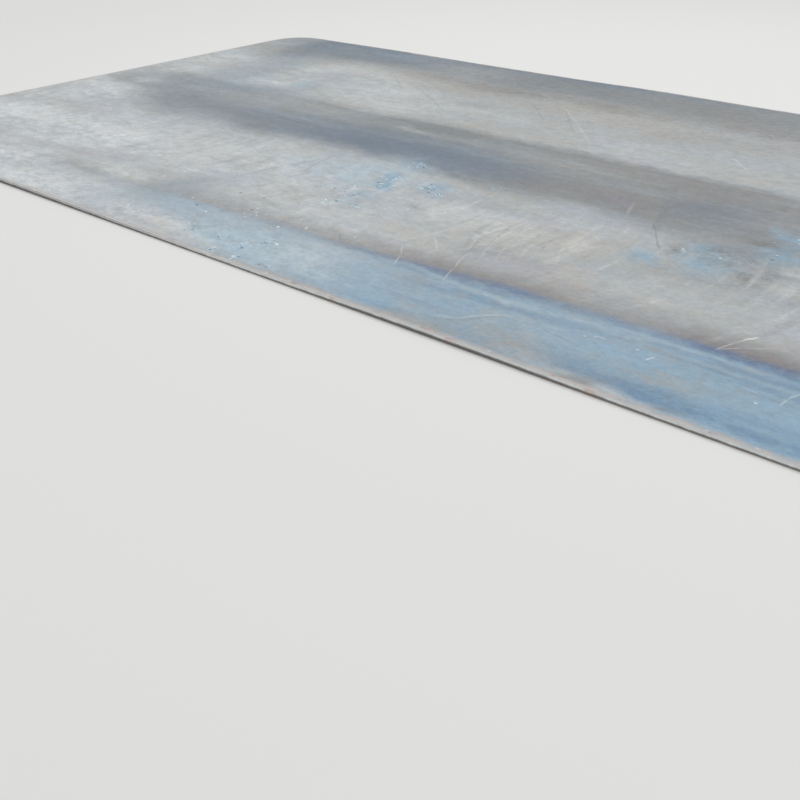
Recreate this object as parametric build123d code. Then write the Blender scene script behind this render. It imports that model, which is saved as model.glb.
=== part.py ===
from build123d import *
from math import sin
import os

# Hot-rolled steel plate, one piece of stock, lying flat with its rolling direction along X.
# The origin is under the middle of the plate, on the level that it rests on. Lengths are in mm.

# Plate as it is sold
plate_length = 6000.0
plate_width = 2000.0
plate_thickness = 10.0

# Sheared edge, from the upper face down: a rolled-over lip, then an upright land,
# and below it a torn part that leans in towards the underside
rollover_radius = 2.0
land_height = 3.2
torn_lean = 0.9

# Corners seen from above: one is well rounded, and the rest are as two cuts leave them
rounded_corner_radius = 140.0
cut_corner_radius = 5.0

# Waves left by the rolls in both long edges: each stands up from the flat middle of the plate
wave_reach = 280.0
wave_unevenness = 0.35
near_wave_length = 1200.0
near_wave_gap = 190.0
near_wave_lift = 3.2
far_wave_length = 940.0
far_wave_gap = 260.0
far_wave_lift = 2.6

# A wave's edge is a smooth curve that follows seven points, spaced evenly along it.
# The inner three are raised, and the curve's middle comes to crest_share of their height.
points_raised = (0, 0, 1, 1, 1, 0, 0)
crest_share = (15 + 20 + 15) / 64

# Across its reach a wave falls away as a parabola, from the edge to the flat of the plate
reach_falls = (1, 1 / 3, 0, 0)


def row_of_waves(longest, gap, tallest):
    """Start, length and lift of each wave in one edge; each stands in the middle of its stretch."""
    count = int((plate_length + gap) // (longest + gap))
    first_middle = -(count - 1) * (longest + gap) / 2
    waves = []
    for n in range(count):
        length = longest * (1 - wave_unevenness * abs(sin(2.1 * n + 0.4)))
        lift = tallest * (1 - wave_unevenness * abs(sin(1.3 * n + 1.9)))
        waves.append((first_middle + n * (longest + gap) - length / 2, length, lift))
    return waves


def wave_underside(start, length, lift, side):
    """Underside of one wave, which meets the flat plate without a crease."""
    along_steps = len(points_raised) - 1
    across_steps = len(reach_falls) - 1
    rows = []
    for row, fall in enumerate(reach_falls):
        y = side * (plate_width / 2 - wave_reach * row / across_steps)
        height = lift / crest_share * fall
        points = []
        for n, raised in enumerate(points_raised):
            points.append((start + length * n / along_steps, y, height * raised))
        rows.append(points)
    return Face.make_bezier_surface(rows)


def flat_plate():
    """The plate before its waves, with its corners rounded as seen from above."""
    rounded_corner = (-plate_length / 2, plate_width / 2, 0)
    plan = Rectangle(plate_length, plate_width)
    plan = fillet(plan.vertices().sort_by_distance(rounded_corner)[1:], cut_corner_radius)
    plan = fillet(plan.vertices().sort_by_distance(rounded_corner)[0], rounded_corner_radius)
    return extrude(plan, plate_thickness)


def waved_plate():
    """The plate with its edge waves, its edges still square."""
    plate = flat_plate()
    edges = (
        (-1, row_of_waves(near_wave_length, near_wave_gap, near_wave_lift)),
        (1, row_of_waves(far_wave_length, far_wave_gap, far_wave_lift)),
    )
    waves = []
    for side, row in edges:
        for start, length, lift in row:
            middle = (start + length / 2, side * (plate_width - wave_reach) / 2, plate_thickness / 2)
            plate -= Pos(*middle) * Box(length, wave_reach, plate_thickness)
            underside = wave_underside(start, length, lift, side)
            waves.append(Solid.extrude(underside, Vector(0, 0, plate_thickness)))
    return plate.fuse(*waves)


def outline_of(faces):
    """Edges that run round a group of faces, and not between two of them."""
    edges = [edge for face in faces for edge in face.edges()]
    return [edge for edge in edges if edges.count(edge) == 1]


def sheared(plate):
    """The plate with its edges as a shear leaves them."""
    upper_faces = plate.faces().filter_by(lambda face: face.normal_at().Z > 0.9)
    plate = plate.fillet(rollover_radius, outline_of(upper_faces))
    # The torn part starts on one end face and follows the outline all the way round
    end_face = plate.faces().filter_by(GeomType.PLANE).sort_by(Axis.X)[0]
    lower_edge = end_face.edges().sort_by(Axis.Z)[0]
    torn_height = plate_thickness - rollover_radius - land_height
    return plate.chamfer(torn_height, torn_lean, [lower_edge], end_face)


steel_plate = sheared(waved_plate())

os.makedirs("parts", exist_ok=True)
export_step(steel_plate, "parts/steel_plate.step")
print("volume in litres:", round(steel_plate.volume / 1e6, 3))
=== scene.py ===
# Hot-rolled steel plate, 6 by 2 m and 10 mm thick, lying flat as stock.
# X runs along the rolling direction, Y across the plate and Z up. Lengths are in metres.
from math import atan2, cos, hypot, pi, radians, sin
import bpy
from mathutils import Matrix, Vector


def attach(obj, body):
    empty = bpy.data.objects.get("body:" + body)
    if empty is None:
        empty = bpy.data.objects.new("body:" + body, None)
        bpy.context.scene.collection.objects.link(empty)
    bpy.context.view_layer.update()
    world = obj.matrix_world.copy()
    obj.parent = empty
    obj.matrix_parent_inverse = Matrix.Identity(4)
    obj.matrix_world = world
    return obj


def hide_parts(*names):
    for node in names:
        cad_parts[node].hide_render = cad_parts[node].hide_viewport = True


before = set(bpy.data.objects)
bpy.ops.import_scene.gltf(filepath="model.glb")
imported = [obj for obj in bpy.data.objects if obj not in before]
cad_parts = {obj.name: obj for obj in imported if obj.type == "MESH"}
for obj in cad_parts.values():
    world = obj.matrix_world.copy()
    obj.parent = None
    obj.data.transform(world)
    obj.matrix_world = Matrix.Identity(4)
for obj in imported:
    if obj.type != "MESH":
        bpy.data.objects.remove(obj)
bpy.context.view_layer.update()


# Node helpers

def toLinear(tone):
    # a colour as seen, 0 to 1, to the linear value that a node takes
    return tuple(v / 12.92 if v <= 0.04045 else ((v + 0.055) / 1.055) ** 2.4 for v in tone) + (1.0,)


class NodeBuilder:
    # adds nodes to one tree and gives back their outputs
    def __init__(self, tree):
        self.tree = tree

    def feed(self, socket, value):
        if isinstance(value, bpy.types.NodeSocket):
            self.tree.links.new(value, socket)
        else:
            socket.default_value = value

    def node(self, kind, inputs=None, **settings):
        made = self.tree.nodes.new(kind)
        for name, value in settings.items():
            setattr(made, name, value)
        for name, value in (inputs or {}).items():
            self.feed(made.inputs[name], value)
        return made

    def math(self, operation, *values):
        made = self.node("ShaderNodeMath", operation=operation)
        for place, value in enumerate(values):
            self.feed(made.inputs[place], value)
        return made.outputs[0]

    def add(self, *values):
        total = values[0]
        for value in values[1:]:
            total = self.math("ADD", total, value)
        return total

    def times(self, *values):
        product = values[0]
        for value in values[1:]:
            product = self.math("MULTIPLY", product, value)
        return product

    def minus(self, a, b):
        return self.math("SUBTRACT", a, b)

    def over(self, a, b):
        return self.math("DIVIDE", a, b)

    def step(self, value, low, high, toLow=0.0, toHigh=1.0):
        # smooth step: toLow at low, toHigh at high; it levels off by itself, and a clamp would fill up the shader
        made = self.node("ShaderNodeMapRange", interpolation_type="SMOOTHSTEP", clamp=False)
        for place, given in enumerate((value, low, high, toLow, toHigh)):
            self.feed(made.inputs[place], given)
        return made.outputs[0]

    def vector(self, operation, *values):
        made = self.node("ShaderNodeVectorMath", operation=operation)
        for place, value in enumerate(values):
            self.feed(made.inputs[place], value)
        return made.outputs["Value" if operation in ("LENGTH", "DISTANCE", "DOT_PRODUCT") else "Vector"]

    def scaled(self, vector, amount):
        return self.node("ShaderNodeVectorMath", {"Vector": vector, "Scale": amount}, operation="SCALE").outputs[0]

    def point(self, x, y, z):
        return self.node("ShaderNodeCombineXYZ", {"X": x, "Y": y, "Z": z}).outputs[0]

    def parts(self, vector):
        return self.node("ShaderNodeSeparateXYZ", {"Vector": vector}).outputs

    def held(self, value, low, high):
        return self.math("MAXIMUM", self.math("MINIMUM", value, high), low)

    def moved(self, geometry, how, value):
        # geometry with each point at a new Position, or shifted by an Offset
        return self.node("GeometryNodeSetPosition", {"Geometry": geometry, how: value}).outputs[0]

    def captured(self, geometry, value):
        # geometry, and what a vector is on it at this point of the tree
        keeper = self.node("GeometryNodeCaptureAttribute", domain="POINT")
        keeper.capture_items.new("VECTOR", "kept")
        self.feed(keeper.inputs[0], geometry)
        self.feed(keeper.inputs[1], value)
        return keeper.outputs[0], keeper.outputs[1]

    def noise(self, vector, scale, detail, roughness=0.5):
        settings = {"Vector": vector, "Scale": scale, "Detail": detail, "Roughness": roughness}
        return self.node("ShaderNodeTexNoise", settings).outputs[0]


# Plate body: a section swept round the cut outline, with the edge waves and the torn edge laid on by rule

plateSizes = {
    "Length": 6.0,
    "Width": 2.0,
    "Thickness": 0.010,
    "Rolled Lip": 0.0020,
    "Land": 0.0032,
    "Torn Lean": 0.0009,
    "Rounded Corner": 0.140,
    "Cut Corner": 0.005,
    "Column Step": 0.0048,
    "Wave Reach": 0.280,
    "Wave Unevenness": 0.35,
    "Near Wave Length": 1.20,
    "Near Wave Gap": 0.19,
    "Near Wave Lift": 0.0032,
    "Far Wave Length": 0.94,
    "Far Wave Gap": 0.26,
    "Far Wave Lift": 0.0026,
    "Lip Raggedness": 0.0005,
    "Lip Noise": 21.0,
    "Tear Depth": 0.0007,
    "Tear Noise": 95.0,
    "Tear Starts": 0.0052,
    "Tear Full": 0.0036,
    "Chip Depth": 0.0016,
    "Chip Noise": 13.0,
    "Chip Starts": 0.0048,
    "Chip Full": 0.0095,
    "Chip Reach": 0.0025,
    "Seam": 0.00005,
}
flatRows = (1.0, 0.68, 0.4, 0.18, 0.05)  # rows of points in the flats, as shares of the wave reach
edgeSteps = 5  # steps round the lip, and down the torn part
roundedSteps, cutSteps = 40.0, 4.0  # points round a corner
waveBeats = {"length": (2.1, 0.4), "lift": (1.3, 1.9)}  # pace and start of the change from wave to wave
crestShare = 50 / 64  # height of the solid's wave line in its middle, where its raised points have 1


def geometryTree(name, sizes):
    # a tree with its sizes as named inputs; gives the builder, its inputs and their identifiers
    tree = bpy.data.node_groups.new(name, "GeometryNodeTree")
    tree.interface.new_socket(name="Geometry", in_out="INPUT", socket_type="NodeSocketGeometry")
    identifiers = {}
    for label, value in sizes.items():
        kind = "NodeSocketInt" if isinstance(value, int) else "NodeSocketFloat"
        socket = tree.interface.new_socket(name=label, in_out="INPUT", socket_type=kind)
        identifiers[label] = socket.identifier
    tree.interface.new_socket(name="Geometry", in_out="OUTPUT", socket_type="NodeSocketGeometry")
    builder = NodeBuilder(tree)
    return builder, builder.node("NodeGroupInput").outputs, identifiers


def plainMesh(obj):
    # the evaluated object as a plain mesh, without its modifier
    depsgraph = bpy.context.evaluated_depsgraph_get()
    evaluated = obj.evaluated_get(depsgraph)
    mesh = bpy.data.meshes.new_from_object(evaluated, preserve_all_data_layers=True, depsgraph=depsgraph)
    obj.modifiers.clear()
    obj.data = mesh
    if mesh.materials and mesh.materials[0] is None:
        mesh.materials.pop(index=0)  # the empty slot that the tree leaves first
    return mesh


def runTree(obj, builder, identifiers, sizes):
    modifier = obj.modifiers.new(builder.tree.name, "NODES")
    modifier.node_group = builder.tree
    for label, value in sizes.items():
        modifier[identifiers[label]] = value
    return plainMesh(obj)


def newObject(name, points, edges=(), faces=()):
    mesh = bpy.data.meshes.new(name)
    mesh.from_pydata(points, edges, faces)
    obj = bpy.data.objects.new(name, mesh)
    bpy.context.scene.collection.objects.link(obj)
    return obj


def edgeSection(sizes):
    # the section as a line of points, X inwards from the cut edge and Z up, from the flat above to the flat below
    thickness, lip, lean = sizes["Thickness"], sizes["Rolled Lip"], sizes["Torn Lean"]
    landEnd = thickness - lip - sizes["Land"]
    flatInsets = [sizes["Wave Reach"] * share for share in flatRows]
    lipTurns = [pi / 2 * n / edgeSteps for n in range(edgeSteps + 1)]
    tornShares = [n / edgeSteps for n in range(edgeSteps + 1)]
    points = [(inset, 0, thickness) for inset in flatInsets]
    points += [(lip * (1 - sin(turn)), 0, thickness - lip * (1 - cos(turn))) for turn in lipTurns]
    points += [(0, 0, thickness - lip - sizes["Land"] / 2)]
    points += [(lean * share, 0, landEnd * (1 - share)) for share in tornShares]
    points += [(inset, 0, 0) for inset in reversed(flatInsets)]
    return points


def waveRise(b, given, x, y, side, label):
    # height of one edge's waves at (x, y)
    longest, gap, tallest = given[label + " Wave Length"], given[label + " Wave Gap"], given[label + " Wave Lift"]
    pitch = b.add(longest, gap)
    count = b.math("FLOOR", b.over(b.add(given["Length"], gap), pitch))
    lastWave = b.minus(count, 1)
    wave = b.math("FLOOR", b.add(b.over(x, pitch), b.over(count, 2)))
    wave = b.held(wave, 0, lastWave)
    middle = b.times(b.minus(wave, b.over(lastWave, 2)), pitch)

    def uneven(value, pace, start):
        swing = b.math("ABSOLUTE", b.math("SINE", b.add(b.times(wave, pace), start)))
        return b.times(value, b.minus(1, b.times(given["Wave Unevenness"], swing)))

    along = b.over(b.minus(x, middle), uneven(longest, *waveBeats["length"]))
    along = b.held(b.add(along, 0.5), 0, 1)
    swell = b.times(along, b.minus(1, along))
    swell = b.times(swell, swell, b.minus(15 / crestShare, b.times(swell, 10 / crestShare)))
    inset = b.minus(b.over(given["Width"], 2), b.times(y, side))
    fall = b.math("MAXIMUM", b.minus(1, b.over(inset, given["Wave Reach"])), 0)
    return b.times(uneven(tallest, *waveBeats["lift"]), swell, fall, fall)


def bothRises(b, given, here):
    # height of the waves of both long edges
    near = waveRise(b, given, here["X"], here["Y"], -1, "Near")
    return b.add(near, waveRise(b, given, here["X"], here["Y"], 1, "Far"))


def plateBodyTree(sizes, upperFinish, edgeFinish, lowerFinish):
    b, given, identifiers = geometryTree("rolledPlate", sizes)
    position = b.node("GeometryNodeInputPosition").outputs[0]
    here = b.parts(position)

    # cut outline, with columns of even width between its corners
    rectangle = b.node("GeometryNodeCurvePrimitiveQuadrilateral", {"Width": given["Length"], "Height": given["Width"]})
    roundedHere = b.times(b.math("LESS_THAN", here["X"], 0), b.math("GREATER_THAN", here["Y"], 0))
    radius = b.add(given["Cut Corner"], b.times(roundedHere, b.minus(given["Rounded Corner"], given["Cut Corner"])))
    corners = b.node("GeometryNodeFilletCurve", mode="POLY")
    b.feed(corners.inputs["Curve"], rectangle.outputs[0])
    b.feed(corners.inputs["Radius"], radius)
    b.feed(corners.inputs["Count"], b.add(cutSteps, b.times(roundedHere, roundedSteps - cutSteps)))
    nextPoint = b.node("GeometryNodeOffsetPointInCurve", {"Offset": 1}).outputs["Point Index"]
    nextPosition = b.node("GeometryNodeFieldAtIndex", data_type="FLOAT_VECTOR", domain="POINT")
    b.feed(nextPosition.inputs["Index"], nextPoint)
    b.feed(nextPosition.inputs["Value"], position)
    run = b.vector("DISTANCE", nextPosition.outputs[0], position)
    cuts = b.math("FLOOR", b.over(run, given["Column Step"]))
    outline = b.node("GeometryNodeSubdivideCurve", {"Curve": corners.outputs[0], "Cuts": cuts}).outputs[0]
    outline, way = b.captured(outline, b.node("GeometryNodeInputTangent").outputs[0])

    # the section line turned into the sweep's own axes
    section = b.node("GeometryNodeMeshToCurve", {"Mesh": given["Geometry"]}).outputs[0]
    section, sectionPlace = b.captured(section, position)
    turned = b.moved(section, "Position", b.point(b.times(here["X"], -1), b.times(here["Z"], -1), 0))
    sweep = b.node("GeometryNodeCurveToMesh", {"Curve": outline, "Profile Curve": turned}).outputs[0]
    inset, level = b.parts(sectionPlace)["X"], b.parts(sectionPlace)["Z"]

    # inner rows stop at the corners of a smaller rectangle
    def stopped(value, size):
        most = b.minus(b.over(size, 2), inset)
        return b.held(value, b.times(most, -1), most)

    squared = b.point(stopped(here["X"], given["Length"]), stopped(here["Y"], given["Width"]), here["Z"])
    walls = b.moved(sweep, "Position", squared)

    # shear marks: everything is cut away from the section, and nothing stands out of it
    outward = b.point(b.parts(way)["Y"], b.times(b.parts(way)["X"], -1), 0)
    ragged = b.step(b.noise(b.vector("MULTIPLY", position, (1, 1, 0)), given["Lip Noise"], 3), 0.35, 0.75)
    tornNoise = b.noise(b.vector("MULTIPLY", position, (1, 1, 2.5)), given["Tear Noise"], 3, 0.65)
    torn = b.times(b.step(tornNoise, 0.3, 0.75), b.step(level, given["Tear Starts"], given["Tear Full"]))
    chips = b.step(b.noise(b.vector("ADD", position, (7.3, 2.1, 0)), given["Chip Noise"], 4, 0.7), 0.63, 0.72)
    chips = b.times(chips, b.step(level, given["Chip Starts"], given["Chip Full"]))
    onEdge = b.math("LESS_THAN", inset, b.times(given["Rolled Lip"], 1.01))
    lipCut, chipCut = b.times(ragged, given["Lip Raggedness"]), b.times(chips, given["Chip Depth"])
    depth = b.add(lipCut, b.times(torn, given["Tear Depth"]), chipCut)
    depth = b.times(depth, onEdge, b.step(level, 0, 0.0005))
    drop = b.times(chipCut, onEdge, b.step(inset, given["Chip Reach"], 0.0), 0.5)
    cutBack = b.vector("SUBTRACT", b.scaled(outward, b.times(depth, -1)), b.point(0, 0, drop))
    worn = b.moved(walls, "Offset", cutBack)

    def marked(geometry, edgeDistance, height):
        # each point keeps its distance from the edge and its height before the waves, for the finishes to follow
        for label, value in (("fromEdge", edgeDistance), ("level", height)):
            named = {"Geometry": geometry, "Name": label}
            store = b.node("GeometryNodeStoreNamedAttribute", named, data_type="FLOAT", domain="POINT")
            b.feed(store.inputs["Value"], value)
            geometry = store.outputs[0]
        return geometry

    # flats inside the innermost rows
    def flat(above):
        border = b.math("COMPARE", b.node("GeometryNodeInputMeshEdgeNeighbors").outputs[0], 1, 0.1)
        onSide = b.math("GREATER_THAN" if above else "LESS_THAN", here["Z"], b.over(given["Thickness"], 2))
        loop = b.node("GeometryNodeMeshToCurve", {"Mesh": worn, "Selection": b.times(border, onSide)})
        filled = b.node("GeometryNodeFillCurve", {"Curve": loop.outputs[0]}, mode="NGONS").outputs[0]
        height = given["Thickness"] if above else 0.0
        placed = b.moved(filled, "Offset", b.point(0, 0, height))
        if not above:
            placed = b.node("GeometryNodeFlipFaces", {"Mesh": placed}).outputs[0]
        return marked(placed, given["Wave Reach"], height)

    whole = b.node("GeometryNodeJoinGeometry")
    for geometry in (flat(False), flat(True), marked(worn, inset, level)):
        b.feed(whole.inputs[0], geometry)
    seams = {"Geometry": whole.outputs[0], "Distance": given["Seam"]}
    merged = b.node("GeometryNodeMergeByDistance", seams).outputs[0]

    # both rows of edge waves
    waved = b.moved(merged, "Offset", b.point(0, 0, bothRises(b, given, here)))
    smooth = b.node("GeometryNodeSetShadeSmooth", {"Geometry": waved}).outputs[0]
    finished = b.node("GeometryNodeRealizeInstances", {"Geometry": smooth}).outputs[0]

    # finishes, by the height that each face had before the waves
    heightThere = b.node("GeometryNodeInputNamedAttribute", {"Name": "level"}, data_type="FLOAT").outputs[0]
    isUpper = b.math("GREATER_THAN", heightThere, b.minus(given["Thickness"], b.times(given["Rolled Lip"], 0.3)))
    isLower = b.math("LESS_THAN", heightThere, 0.00001)
    for finish, chosen in ((edgeFinish, None), (upperFinish, isUpper), (lowerFinish, isLower)):
        painted = b.node("GeometryNodeSetMaterial", {"Geometry": finished, "Material": finish})
        if chosen is not None:
            b.feed(painted.inputs["Selection"], chosen)
        finished = painted.outputs[0]
    b.feed(b.node("NodeGroupOutput").inputs[0], finished)
    return b, identifiers


# Finishes

scaleTones = {  # as they look in even light, 0 to 1
    "pale": (0.662, 0.684, 0.698),
    "silver": (0.760, 0.782, 0.792),
    "bright": (0.812, 0.827, 0.838),
    "lilac": (0.690, 0.688, 0.722),
    "paleBlue": (0.665, 0.742, 0.792),
    "cream": (0.668, 0.668, 0.654),
    "warmCream": (0.690, 0.676, 0.632),
    "slate": (0.422, 0.478, 0.538),
    "paleSlate": (0.570, 0.614, 0.652),
    "greyGreen": (0.490, 0.512, 0.522),
    "brownGrey": (0.508, 0.502, 0.500),
    "mauve": (0.475, 0.445, 0.462),
    "skyBlue": (0.552, 0.652, 0.722),
    # iceBlue: the lit colour of loose flakes, partly a painted highlight
    "iceBlue": (0.730, 0.812, 0.858),
    "deepBlue": (0.425, 0.540, 0.640),
    "clearBlue": (0.520, 0.650, 0.735),
    "indigo": (0.315, 0.408, 0.555),
    "violet": (0.530, 0.530, 0.585),
    "tan": (0.605, 0.605, 0.600),
    "pinkDust": (0.690, 0.664, 0.648),
    "dust": (0.880, 0.885, 0.880),
    "rust": (0.640, 0.400, 0.250),
    "smut": (0.360, 0.360, 0.365),
    "torn": (0.450, 0.425, 0.405),
}

# how a scratch is drawn: its stretches overlap, and it is full for most of its width
scratchShape = {"reach": 0.62, "width": 0.75, "fullness": 2.2, "strength": 0.75}
stainStrength = 1.5


class Finish(NodeBuilder):
    # one material, built up as layers of colour over each other
    def __init__(self, material, tones, first):
        material.use_nodes = True
        super().__init__(material.node_tree)
        self.tree.nodes.clear()
        self.tones = tones
        self.place = self.node("ShaderNodeTexCoord").outputs["Object"]
        here = self.parts(self.place)
        self.x, self.y = here["X"], here["Y"]
        self.colour = toLinear(tones[first])

    def lay(self, tone, mask):
        mixed = self.node("ShaderNodeMix", data_type="RGBA")
        for place, value in ((0, mask), (6, self.colour), (7, toLinear(self.tones[tone]))):
            self.feed(mixed.inputs[place], value)
        self.colour = mixed.outputs[2]

    def shade(self, amount):
        # multiplies the colour by an amount about 1
        self.colour = self.scaled(self.colour, amount)

    def trace(self, points):
        # a smooth line through (X, value) points from one end of the plate to the other
        low, high = points[0][0], points[-1][0]
        lowest, highest = min(value for place, value in points), max(value for place, value in points)
        curve = self.node("ShaderNodeFloatCurve", {"Value": self.over(self.minus(self.x, low), high - low)})
        line = curve.mapping.curves[0]
        shares = [((place - low) / (high - low), (value - lowest) / (highest - lowest)) for place, value in points]
        line.points[0].location, line.points[1].location = shares[0], shares[-1]
        for share in shares[1:-1]:
            line.points.new(*share)
        curve.mapping.update()
        return self.add(self.times(curve.outputs[0], highest - lowest), lowest)

    def fields(self, long, wide, seed, detail, roughness):
        # three independent noises about long by wide metres, each from -0.5 to 0.5
        spread = self.vector("MULTIPLY_ADD", self.place, (1 / long, 1 / wide, 0), (0, 0, seed))
        settings = {"Vector": spread, "Scale": 1.0, "Detail": detail, "Roughness": roughness}
        colour = self.node("ShaderNodeTexNoise", settings).outputs["Color"]
        return self.vector("SUBTRACT", colour, (0.5, 0.5, 0.5))

    def within(self, value, low, high, soft):
        # 1 between low and high, with soft borders
        lowSide = self.step(self.minus(value, low), -soft, soft)
        return self.times(lowSide, self.step(self.minus(value, high), soft, -soft))

    def spot(self, place, x, y, reachX, reachY, turn):
        # 1 in the middle of a turned ellipse and 0 past its reach
        made = self.node("ShaderNodeTexGradient", {"Vector": place}, gradient_type="SPHERICAL")
        mapping = made.texture_mapping
        mapping.vector_type = "TEXTURE"
        mapping.translation = (x, y, 0)
        mapping.rotation = (0, 0, turn)
        mapping.scale = (reachX, reachY, 1000)  # so tall that height makes no difference
        return made.outputs["Fac"]

    def scratch(self, tone, place, width, strength, points):
        # a line through points, thin at the ends of each stretch
        mask = None
        for (x, y), (endX, endY) in zip(points, points[1:]):
            reach, turn = hypot(endX - x, endY - y) * scratchShape["reach"], atan2(endY - y, endX - x)
            halfWide = width * scratchShape["width"]
            stretch = self.spot(place, (x + endX) / 2, (y + endY) / 2, reach, halfWide, turn)
            mask = stretch if mask is None else self.math("MAXIMUM", mask, stretch)
        full = self.math("MINIMUM", self.times(mask, scratchShape["fullness"]), 1.0)
        self.lay(tone, self.times(full, strength * scratchShape["strength"]))

    def close(self, roughness, bump=None, bumpDepth=0.001, **plain):
        shader = self.node("ShaderNodeBsdfPrincipled", {"Base Color": self.colour, "Roughness": roughness})
        for name, value in plain.items():
            shader.inputs[name.replace("_", " ")].default_value = value
        if bump is not None:
            relief = self.node("ShaderNodeBump", {"Height": bump, "Distance": bumpDepth, "Strength": 1.0})
            self.feed(shader.inputs["Normal"], relief.outputs[0])
        self.feed(self.node("ShaderNodeOutputMaterial").inputs["Surface"], shader.outputs[0])


bandLines = {  # borders and strengths of the bands, as (X, value) along the plate
    "far border": [(-3, 0.68), (-2.7, 0.6), (-2.5, 0.635), (-2.25, 0.715), (-1.6, 0.715), (-1.0, 0.725),
        (0, 0.745), (1, 0.71), (3, 0.75)],
    "far strength": [(-3, 0.34), (-2.83, 0.52), (-2.68, 0.92), (-2.4, 0.92), (-2.0, 0.7), (-1.5, 0.95),
        (-1.0, 0.8), (0, 0.8), (1, 0.95), (3, 0.85)],
    "far blueness": [(-3, 0.4), (-2.4, 0.95), (-1.9, 0.5), (-1.3, 0.15), (0, 0.1), (1.2, 0.7), (3, 0.3)],
    "middle top": [(-3, 0.17), (-2.4, 0.17), (-1.8, 0.165), (-1.4, 0.192), (-1.0, 0.172), (-0.87, 0.155),
        (-0.6, 0.176), (0.6, 0.12), (1.6, 0.16), (3, 0.1)],
    "middle foot": [(-3, -0.02), (-2.7, -0.17), (-2.5, -0.25), (-2.3, -0.295), (-2.1, -0.278), (-1.9, -0.25),
        (-1.6, -0.215), (-1.2, -0.205), (-0.9, -0.235), (-0.6, -0.27), (0.5, -0.22), (1.5, -0.3), (3, -0.2)],
    "middle strength": [(-3, 0.2), (-2.6, 0.58), (-2.2, 0.7), (-1.8, 0.88), (-1.4, 1.0), (-1.0, 0.95),
        (-0.6, 0.8), (0.4, 0.8), (1.4, 0.95), (2.2, 0.7), (3, 0.85)],
    "middle blueness": [(-3, 0.9), (-2.2, 0.8), (-1.5, 1.0), (-1.15, 0.9), (-0.85, 0.25), (0, 0.2), (1, 0.6),
        (3, 0.8)],
    "blue border": [(-3, -0.84), (-1.8, -0.8), (-1.4, -0.785), (-1.1, -0.768), (-0.8, -0.75), (-0.5, -0.735),
        (-0.2, -0.733), (0.4, -0.74), (1.2, -0.775), (2, -0.8), (3, -0.76)],
    "blue strength": [(-3, 0.0), (-2.2, 0.05), (-1.8, 0.22), (-1.3, 0.34), (-1.1, 0.55), (-0.9, 0.8),
        (-0.5, 1.0), (0.5, 0.9), (1.3, 0.7), (2.2, 0.85), (3, 0.5)],
    "indigo strength": [(-3, 0.0), (-2.0, 0.12), (-1.5, 0.22), (-1.0, 0.45), (-0.72, 0.8), (-0.58, 0.45),
        (-0.45, 0.45), (-0.33, 0.9), (-0.2, 1.0), (0.3, 0.8), (1, 0.3), (1.6, 0.5), (2.2, 0.9), (3, 0.3)],
    # strength along the plate of the bright dust and painted highlight on the rolled lip
    "rim dust and lip highlight": [(-3, 1.0), (-1.6, 0.9), (-1.2, 0.6), (-0.8, 0.3), (-0.2, 0.2), (0.8, 0.6), (3, 0.9)],
    "silver ground": [(-3, 0.9), (-2.2, 0.8), (-1.5, 0.35), (-1, 0.15), (0, 0.1), (1.5, 0.35), (3, 0.8)],
    "cut edge": [(-3, 0.75), (-1.65, 0.75), (-1.25, 1.0), (0.6, 1.0), (1.3, 0.85), (3, 0.95)],
    "brightness": [(-3, 0.98), (-2.3, 0.96), (-1.6, 0.92), (-1.0, 0.94), (-0.4, 0.94), (0.5, 0.95),
        (1.5, 0.93), (3, 0.98)],
}

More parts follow.
